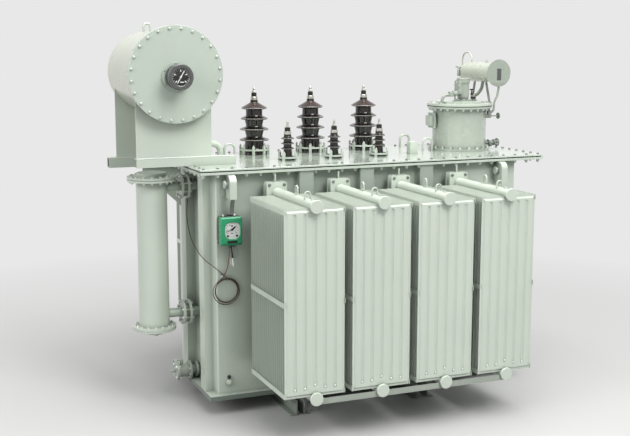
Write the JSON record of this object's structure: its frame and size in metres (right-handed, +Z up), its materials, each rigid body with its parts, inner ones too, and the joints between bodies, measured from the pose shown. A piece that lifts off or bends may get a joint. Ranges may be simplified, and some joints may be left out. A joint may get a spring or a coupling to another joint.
{
  "type": "oil-immersed power transformer with an on-load tap changer",
  "caption": "Oil-filled power transformer: ribbed tank on skids, banks of flat radiators, drum conservator, brown bushings, tap changer head, column filter.",
  "frame": {"origin": "on the ground, at the middle of the outline seen from above", "axes": "+X along the tank away from the conservator, -Y the front, where the thermometer hangs, +Z up"},
  "size_m": [3.6039, 2.976, 3.124],
  "materials": {
    "paint": "pale grey-green satin paint",
    "brown_glaze": "glossy dark brown glazed porcelain",
    "terminal_metal": "dull tinned metal",
    "gasket": "matt black rubber",
    "instrument_black": "satin black enamel",
    "valve_dark": "dark weathered metal",
    "thermometer_green": "satin grey-green enamel",
    "capillary_metal": "dull dark armoured tube"
  },
  "bodies": {
    "root": {"base_plate": "paint", "skid_pair_left": "paint", "skid_pair_right": "paint", "tank_body": "paint", "tank_ribs": "paint", "tank_rim_flange": "paint", "cover_gasket": "gasket", "cover_plate": "paint", "lifting_lugs": "paint", "radiator_valves": "paint", "radiator_tie_bars": "paint", "conservator_drum": "paint", "conservator_end_cover": "paint", "oil_gauge": "instrument_black", "conservator_support_front": "paint", "conservator_support_rear": "paint", "conservator_pipe": "paint", "filter_column": "paint", "filter_pipes": "paint", "drain_valve": "paint", "hv_insulators": "brown_glaze", "hv_clamp_rings": "paint", "lv_insulators": "brown_glaze", "lv_clamp_rings": "paint", "bushing_terminals": "terminal_metal", "tap_changer_head": "paint", "tap_changer_cover": "paint", "tap_changer_gear": "paint", "small_conservator": "paint", "tap_changer_valves": "valve_dark", "lifting_eyes": "paint", "cover_pocket_box": "paint", "thermometer_box": "thermometer_green", "thermometer_fittings": "valve_dark", "capillary_lower": "capillary_metal", "capillary_upper": "capillary_metal", "capillary_coil": "capillary_metal", "radiator_front_1": "paint", "radiator_front_2": "paint", "radiator_front_3": "paint", "radiator_front_4": "paint", "radiator_back_1": "paint", "radiator_back_2": "paint", "radiator_back_3": "paint", "radiator_back_4": "paint"}
  },
  "joints": []
}
